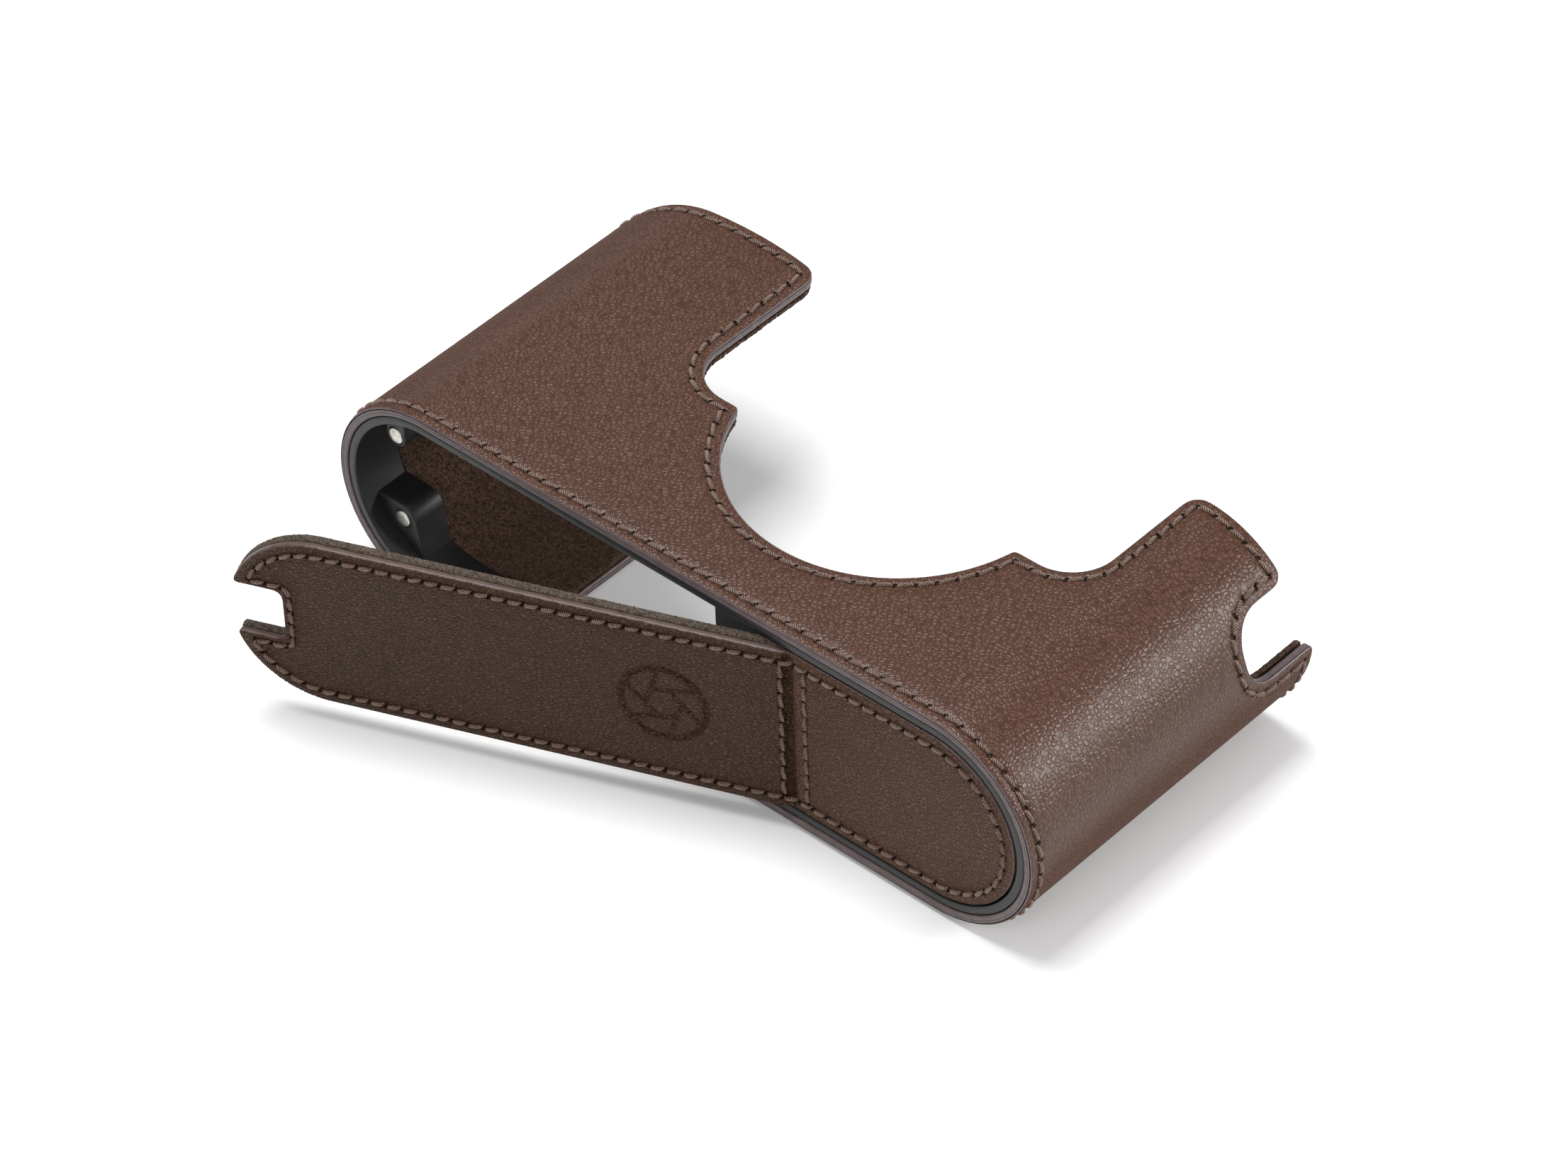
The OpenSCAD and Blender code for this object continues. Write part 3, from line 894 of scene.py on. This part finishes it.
class Surface:
    """A Principled material, with short ways to its usual nodes. Sizes are in millimetres."""

    def __init__(self, name, **values):
        self.material = bpy.data.materials.new(name)
        self.material.use_nodes = True
        self.nodes = self.material.node_tree.nodes
        self.links = self.material.node_tree.links
        self.shader = self.nodes["Principled BSDF"]
        self.coordinates = self.nodes.new("ShaderNodeTexCoord").outputs["Object"]
        for socket, value in values.items():
            self.shader.inputs[socket.replace("_", " ")].default_value = value

    def node(self, kind, **inputs):
        """A new node; each input is given a value, or a socket that feeds it."""
        node = self.nodes.new("ShaderNode" + kind)
        for name, value in inputs.items():
            socket = node.inputs[name.replace("_", " ")]
            if isinstance(value, bpy.types.NodeSocket):
                self.links.new(value, socket)
            else:
                socket.default_value = value
        return node

    def place(self, stretch, turn=(0, 0, 0)):
        """Coordinates stretched and turned, in degrees."""
        turn = [math.radians(a) for a in turn]
        return self.node("Mapping", Vector=self.coordinates, Scale=stretch, Rotation=turn).outputs["Vector"]

    def noise(self, size, detail=2, rough=0.5, distortion=0, place=None):
        """Cloudy noise with features of about the given size."""
        node = self.node("TexNoise", Scale=1 / (size * MM), Detail=detail, Roughness=rough,
                         Distortion=distortion, Vector=place or self.coordinates)
        return node.outputs["Fac"]

    def cells(self, size, place):
        """Distance to the nearest border between cells of about the given size."""
        node = self.node("TexVoronoi", Scale=1 / (size * MM), Vector=place)
        node.feature = "DISTANCE_TO_EDGE"
        return node.outputs["Distance"]

    def facing(self):
        """Nought where the surface faces the viewer, one where it turns away."""
        return self.node("LayerWeight").outputs["Facing"]

    def remap(self, value, low, high, to_low=0.0, to_high=1.0):
        """A smooth step between two levels."""
        node = self.node("MapRange", Value=value, From_Min=low, From_Max=high, To_Min=to_low, To_Max=to_high)
        node.interpolation_type = "SMOOTHSTEP"
        return node.outputs["Result"]

    def blend(self, factor, a, b):
        """Colour between a and b; each is a colour or a socket."""
        node = self.nodes.new("ShaderNodeMix")
        node.data_type = "RGBA"
        self.links.new(factor, node.inputs["Factor"])
        for name, value in (("A", a), ("B", b)):
            socket = [s for s in node.inputs if s.name == name and s.type == "RGBA"][0]
            if isinstance(value, tuple):
                socket.default_value = value
            else:
                self.links.new(value, socket)
        return [s for s in node.outputs if s.type == "RGBA"][0]

    def bump(self, height, distance, normal=None):
        """Relief of the given depth, on top of another where one is given."""
        node = self.node("Bump", Strength=1, Distance=distance * MM, Height=height)
        if normal is not None:
            self.links.new(normal, node.inputs["Normal"])
        return node.outputs["Normal"]

    def set(self, name, socket):
        """Feeds one of the shader's inputs."""
        self.links.new(socket, self.shader.inputs[name])


def leather_surface(name, colours, grain, grain_depth, cell, cell_depth, gloss, shine, stretch=(1, 1, 1)):
    """Dyed leather: an even colour, fine speckle, pebble cells with painted shade in the creases between
    them, and a satin finish.
    """
    s = Surface(name, Specular_IOR_Level=shine)
    crease_shade, dark, middle, light = (linear(colour) for colour in colours)
    place = s.place(stretch, (0, 35, 0))
    clouds = s.noise(30, 3, 0.5)
    patches = s.noise(5, 3)
    speckle = s.noise(grain, 3, 0.65, place=place)
    pores = s.cells(cell, place)
    shade = s.blend(s.remap(clouds, 0.3, 0.7, 0.35, 0.9), dark, middle)
    shade = s.blend(s.remap(patches, 0.35, 0.8, 0, 0.15), shade, light)
    shade = s.blend(s.remap(speckle, 0.4, 0.66, 0, 0.75), shade, light)
    # Painted shade: the colour darkens towards the creases between the pebble cells.
    shade = s.blend(s.remap(pores, 0.0, 0.2, 0.8, 0), shade, crease_shade)
    s.set("Base Color", shade)
    s.set("Roughness", s.remap(s.facing(), 0.36, 0.75, gloss, 0.95))
    fine = s.bump(speckle, grain_depth)
    s.set("Normal", s.bump(s.remap(pores, 0, 0.3), cell_depth, fine))
    return s.material


def paint_surface(name, base, light):
    """Burnished edge paint with faint brush marks along it."""
    s = Surface(name, Specular_IOR_Level=0.5, Coat_Weight=0.12, Coat_Roughness=0.35)
    marks = s.noise(1.2, 4, 0.6, place=s.place((0.4, 1, 1)))
    fine = s.noise(0.18, 2)
    s.set("Base Color", s.blend(s.remap(marks, 0.3, 0.75), linear(base), linear(light)))
    s.set("Roughness", s.remap(fine, 0.3, 0.7, 0.4, 0.55))
    s.set("Normal", s.bump(fine, 0.02, s.bump(marks, 0.05)))
    return s.material


def suede_surface(name, dark, middle, light, nap):
    """Napped suede: clumped fibres, light tips and dark gaps."""
    s = Surface(name, Roughness=0.95, Specular_IOR_Level=0.15, Sheen_Weight=0.35, Sheen_Roughness=0.45)
    s.shader.inputs["Sheen Tint"].default_value = linear(light)
    clumps = s.noise(nap * 2.4, 3, 0.6, 0.6)
    fibres = s.noise(nap, 4, 0.7, 0.4)
    strokes = s.noise(9, 3)
    shade = s.blend(s.remap(clumps, 0.35, 0.65), linear(dark), linear(middle))
    shade = s.blend(s.remap(fibres, 0.5, 0.75, 0, 0.8), shade, linear(light))
    shade = s.blend(s.remap(strokes, 0.4, 0.8, 0, 0.25), shade, linear(dark))
    s.set("Base Color", shade)
    s.set("Normal", s.bump(fibres, 0.28, s.bump(clumps, 0.3)))
    return s.material


def plastic_surface(name, dark, light, texture, depth, rough):
    """Moulded plastic with a fine spark-eroded texture."""
    s = Surface(name, Specular_IOR_Level=0.45)
    grain = s.noise(texture, 3, 0.6)
    flow = s.noise(12, 2)
    s.set("Base Color", s.blend(s.remap(flow, 0.3, 0.7), linear(dark), linear(light)))
    s.set("Roughness", s.remap(grain, 0.3, 0.7, rough, rough + 0.15))
    s.set("Normal", s.bump(grain, depth))
    return s.material


def thread_surface():
    """Polyester thread with fine fibres along its plies."""
    s = Surface("thread", Specular_IOR_Level=0.6)
    fibres = s.noise(0.12, 3, 0.6)
    tone = s.noise(4, 2)
    shade = s.blend(s.remap(fibres, 0.35, 0.7), linear("#4a352a"), linear("#a08879"))
    s.set("Base Color", s.blend(s.remap(tone, 0.35, 0.75, 0, 0.4), shade, linear("#624a3e")))
    s.set("Roughness", s.remap(fibres, 0.3, 0.7, 0.36, 0.55))
    s.set("Normal", s.bump(fibres, 0.03))
    return s.material


def metal_surface():
    """Nickel plate, finely brushed and a little tarnished."""
    s = Surface("magnet_nickel", Metallic=1.0)
    scratches = s.noise(0.5, 4, 0.7, place=s.place((1, 1, 6), (0, 25, 0)))
    tarnish = s.noise(0.9, 3, 0.6)
    s.set("Base Color", s.blend(s.remap(tarnish, 0.35, 0.7), linear("#d9d6cf"), linear("#b3aea5")))
    s.set("Roughness", s.remap(scratches, 0.3, 0.7, 0.28, 0.5))
    s.set("Normal", s.bump(scratches, 0.012))
    return s.material


def hole_shade_surface():
    """Painted shade for the inside of the stitch holes."""
    s = Surface("stitch_hole_painted_shade", Roughness=0.9, Specular_IOR_Level=0.1)
    fine = s.noise(0.1, 2)
    s.set("Base Color", s.blend(s.remap(fine, 0.3, 0.7), linear("#120c09"), linear("#241812")))
    s.set("Normal", s.bump(fine, 0.03))
    return s.material


# Each leather's first colour is painted shade for the creases between its pebble cells.
shell_leather_material = leather_surface(
    "leather_shell", ("#352118", "#40291f", "#4b2f23", "#634638"),
    grain=0.27, grain_depth=0.008, cell=0.8, cell_depth=0.045, gloss=0.31, shine=0.3)
COVER_GRAIN = {"grain": 0.5, "grain_depth": 0.22, "cell": 0.9, "cell_depth": 0.32,
               "gloss": 0.38, "shine": 0.2, "stretch": (1, 1, 1.6)}
# The pad and the flap are one leather; the pad's copy below is painted lighter than the flap's, as painted
# light for the pad being better lit.
flap_leather_material = leather_surface(
    "leather_flap", ("#2b190e", "#3d2617", "#462c1c", "#5c412e"), **COVER_GRAIN)
pad_leather_painted_lighter = leather_surface(
    "leather_pad_painted_lighter", ("#362012", "#4a2e1e", "#573927", "#6f4f3b"), **COVER_GRAIN)
paint_material = paint_surface("edge_paint", "#4e4142", "#625355")
flap_paint_material = paint_surface("flap_edge_paint", "#44332f", "#55423d")
lining_material = suede_surface("suede_lining", "#251912", "#533f34", "#957a69", 0.28)
flap_suede_material = suede_surface("suede_flap", "#2f2720", "#61554b", "#93877d", 0.2)
plastic_material = plastic_surface("plastic_frame", "#1b1a1b", "#232224", 0.25, 0.02, 0.38)
board_material = plastic_surface("fibre_board", "#141211", "#1f1b19", 0.4, 0.05, 0.75)
thread_material = thread_surface()
metal_material = metal_surface()
hole_shade_material = hole_shade_surface()


# ---- the pieces
def name_slot(obj, nodes):
    """Hides the nodes that the piece is shown in place of."""
    if nodes:
        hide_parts(*nodes)


def rigid_piece(obj, body, slot, *nodes):
    """A piece that moves with one body."""
    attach(obj, body)
    name_slot(obj, nodes)


def fold_piece(obj, slot, *nodes):
    """A piece that lies over the fold from the case to the flap, kept in its rest shape, with its transform
    baked into its points.
    """
    ends = [lie(np.array([[x, MID_Z]]), np.zeros(1))[0] * MM for x in (FOLD_FROM, FOLD_TO)]
    tuple(ends[0])
    tuple(ends[1])
    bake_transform(obj)
    name_slot(obj, nodes)


shell, shell_seams, shell_depth = shell_leather(shell_leather_material, paint_material)
rigid_piece(shell, "case", "shell_leather", "shell_leather")
rigid_piece(thread_mesh("stitches_shell", shell_seams, wrap, thread_material), "case",
            "thread", "thread_shell_bottom", "thread_shell_top")
# Dark discs of painted shade over the shell's stitch holes.
rigid_piece(hole_shade_mesh("stitch_hole_shade_shell", shell_seams, wrap, shell_depth, hole_shade_material), "case",
            "shell_leather")

lining, lining_flat, lining_area = shell_lining(lining_material)
rigid_piece(lining, "case", "shell_suede", "shell_lining")

rigid_piece(chassis_ring(plastic_material), "case", "frame_plastic", "chassis_ring")
for place_name, side in (("front", 1), ("back", -1)):
    rigid_piece(magnet("magnet_" + place_name, side, metal_material), "case",
                "magnet_nickel", "frame_magnet_" + place_name)

cover, cover_seams, cover_depth = cover_leather(
    flap_leather_material, flap_paint_material, pad_leather_painted_lighter)
fold_piece(cover, "flap_leather", "pad_leather", "fold_spine", "flap_leather")
fold_piece(thread_mesh("stitches_cover", cover_seams, lie, thread_material), "thread",
           "thread_pad_edge", "thread_pad_cross", "thread_flap_edge", "thread_flap_cross")
# Dark discs of painted shade over the cover's stitch holes.
fold_piece(hole_shade_mesh("stitch_hole_shade_cover", cover_seams, lie, cover_depth, hole_shade_material), "flap_leather")

suede_pad = flap_suede(flap_suede_material)
rigid_piece(suede_pad, "flap", "flap_suede", "flap_lining")

CAD_MATERIALS = {
    "shell_stiffener": board_material,
    "base_plate": plastic_material,
    "pad_board": board_material,
    "flap_board": board_material,
    "flap_magnet_front": metal_material,
    "flap_magnet_back": metal_material,
}
for node, material in CAD_MATERIALS.items():
    node_mesh = frame["nodes"][node].data
    node_mesh.materials.clear()
    node_mesh.materials.append(material)


# ---- floor, light and camera
def floor():
    """Pale floor, just low enough for the stitches under the case; sizes are in metres."""
    mesh = bpy.data.meshes.new("floor")
    half, level = 3.0, -0.0005
    corners = [(-half, -half, level), (half, -half, level), (half, half, level), (-half, half, level)]
    mesh.from_pydata(corners, [], [(0, 1, 2, 3)])
    obj = bpy.data.objects.new("floor", mesh)
    bpy.context.scene.collection.objects.link(obj)
    s = Surface("floor", Roughness=0.9, Specular_IOR_Level=0.1)
    s.shader.inputs["Base Color"].default_value = (0.84, 0.84, 0.84, 1)
    s.shader.inputs["Emission Color"].default_value = (1, 1, 1, 1)
    s.shader.inputs["Emission Strength"].default_value = 0.08
    mesh.materials.append(s.material)


def softbox(name, direction, distance, size, power):
    """Square area light that looks at the case from a direction; sizes are in metres."""
    target = Vector((0, 0.02, 0.02))
    light = bpy.data.lights.new(name, "AREA")
    light.shape = "SQUARE"
    light.size = size
    light.energy = power
    obj = bpy.data.objects.new(name, light)
    back = Vector(direction).normalized()
    obj.location = target + back * distance
    obj.rotation_mode = "QUATERNION"
    obj.rotation_quaternion = back.to_track_quat("Z", "Y")
    bpy.context.scene.collection.objects.link(obj)


def studio():
    """Surroundings with a pale backdrop at the horizon, dim walls and a bright ceiling."""
    world = bpy.data.worlds.new("studio")
    world.use_nodes = True
    nodes, links = world.node_tree.nodes, world.node_tree.links
    height = nodes.new("ShaderNodeSeparateXYZ")
    levels = nodes.new("ShaderNodeValToRGB")
    stops = levels.color_ramp.elements
    stops[1].position = 1.0
    backdrop_top, wall_bottom = 0.1, 0.25
    backdrop, wall, ceiling = 0.85, 0.15, 0.45
    stops.new(backdrop_top)
    stops.new(wall_bottom)
    for stop, level in zip(stops, (backdrop, backdrop, wall, ceiling)):
        stop.color = (level, level, level, 1)
    links.new(nodes.new("ShaderNodeTexCoord").outputs["Generated"], height.inputs["Vector"])
    links.new(height.outputs["Z"], levels.inputs["Fac"])
    links.new(levels.outputs["Color"], nodes["Background"].inputs["Color"])
    bpy.context.scene.world = world


def camera():
    """The camera; right, up and back are its own directions, angles are in degrees."""
    azimuth, elevation, roll = (math.radians(a) for a in (43.34, 42.02, -2.15))
    distance, shift_right, shift_up = 1.0395, 0.01641, 0.026
    back = Vector((math.sin(azimuth) * math.cos(elevation), -math.cos(azimuth) * math.cos(elevation),
                   math.sin(elevation)))
    level_right = Vector((math.cos(azimuth), math.sin(azimuth), 0))
    level_up = back.cross(level_right)
    right = level_right * math.cos(roll) + level_up * math.sin(roll)
    up = level_up * math.cos(roll) - level_right * math.sin(roll)
    data = bpy.data.cameras.new("camera")
    data.sensor_width = 36
    data.lens = 153.33
    data.clip_end = 20
    obj = bpy.data.objects.new("camera", data)
    obj.matrix_world = Matrix.Translation(back * distance + right * shift_right + up * shift_up) @ Matrix(
        (right, up, back)).transposed().to_4x4()
    bpy.context.scene.collection.objects.link(obj)
    bpy.context.scene.camera = obj


floor()
softbox("key_above", (-0.2, 0.0, 1.0), 1.0, 0.6, 11.2)
softbox("highlight_behind", (0.75, 0.54, 0.39), 1.1, 0.36, 7)
softbox("fill_front_right", (0.3, -0.7, 0.6), 1.2, 0.6, 3.6)
studio()
bpy.context.scene.view_settings.view_transform = "Standard"
camera()
